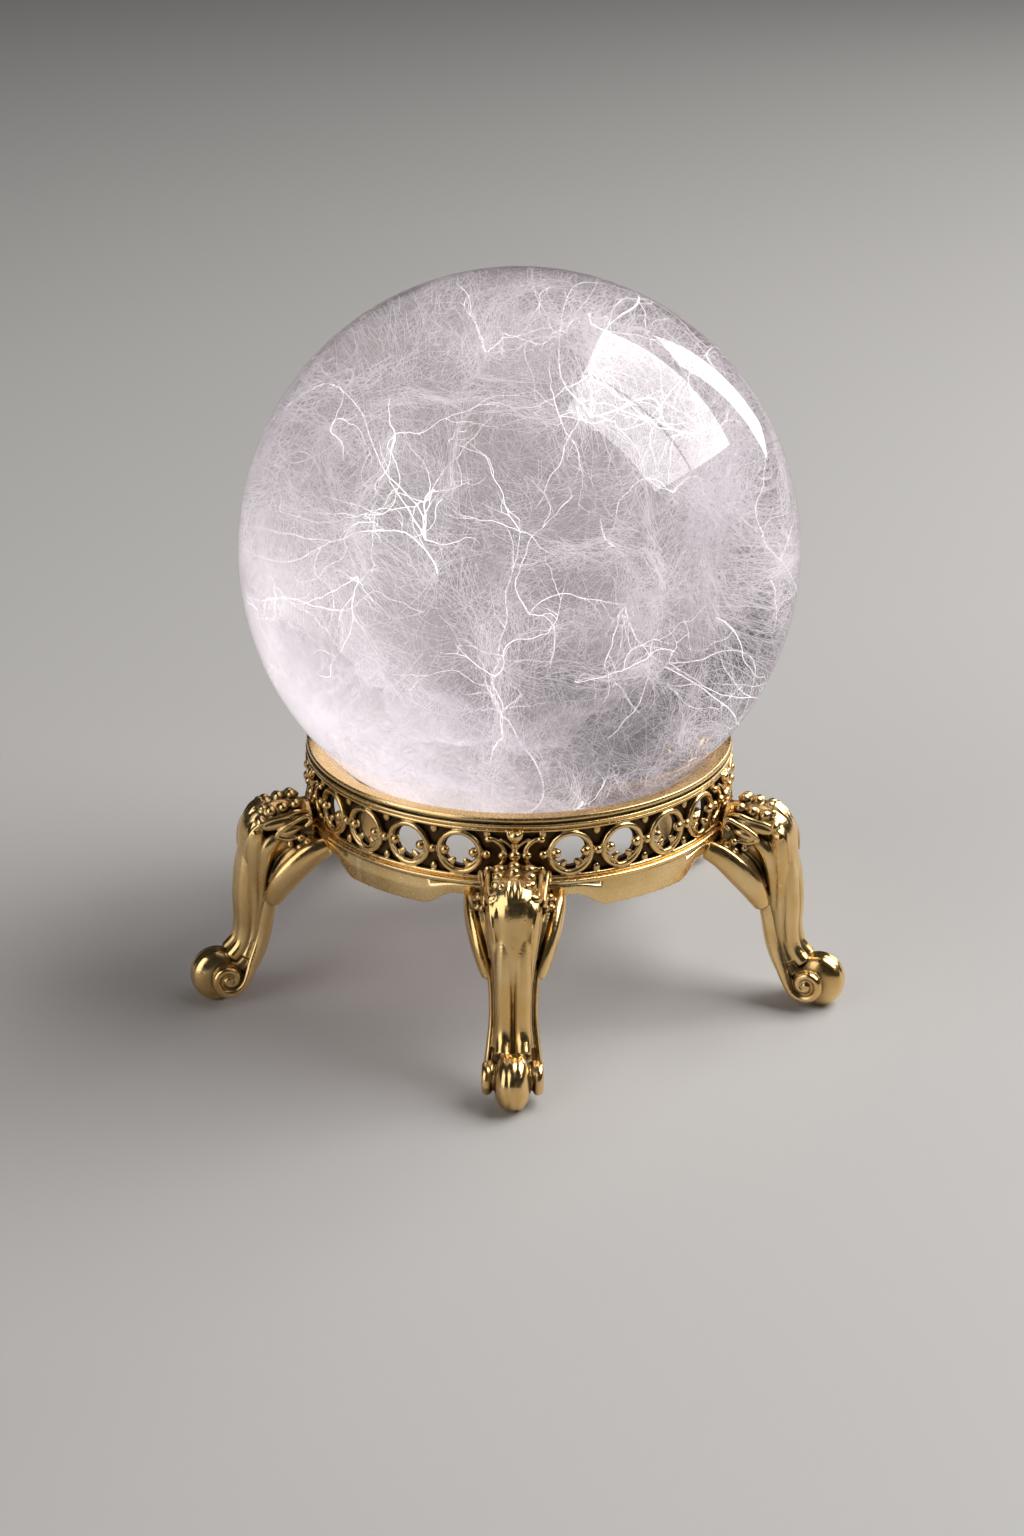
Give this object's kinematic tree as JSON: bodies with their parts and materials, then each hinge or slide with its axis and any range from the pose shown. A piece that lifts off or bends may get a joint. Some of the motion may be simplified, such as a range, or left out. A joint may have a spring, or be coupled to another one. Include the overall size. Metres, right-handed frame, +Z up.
{
  "type": "crystal ball",
  "caption": "Crystal sphere with white veils inside, lying loose in an antique brass stand with an openwork ring and scroll-footed cabriole legs.",
  "frame": {"origin": "the point on the table straight below the ball's centre, on the stand's axis", "axes": "+Z up along the stand's axis; the front leg points along -Y, +X is to the right seen from the front"},
  "size_m": [0.1196, 0.114, 0.1306],
  "materials": {
    "crystal": "polished, with milky veils inside",
    "antique_brass": "cast and polished, dark in the recesses",
    "dark_brass": "dark patina",
    "screw_brass": "turned"
  },
  "bodies": {
    "stand": {"seat_rim": "antique_brass", "pierced_band": "dark_brass", "apron_ring": "antique_brass", "leg_screws": "screw_brass", "leg_front": "antique_brass", "leg_right": "antique_brass", "leg_rear_right": "antique_brass", "leg_rear_left": "antique_brass", "leg_left": "antique_brass", "bud_cross_front": "antique_brass", "bud_cross_right": "antique_brass", "bud_cross_rear_right": "antique_brass", "bud_cross_rear_left": "antique_brass", "bud_cross_left": "antique_brass", "gallery_front_right": "antique_brass", "gallery_right_rear": "antique_brass", "gallery_rear": "antique_brass", "gallery_left_rear": "antique_brass", "gallery_front_left": "antique_brass"},
    "ball": {"crystal_ball": "crystal"}
  },
  "joints": [
    {"name": "ball_lift", "type": "slide", "parent": "stand", "child": "ball", "axis": [0, 0, 1], "range_m": [0, 0.12]}
  ]
}
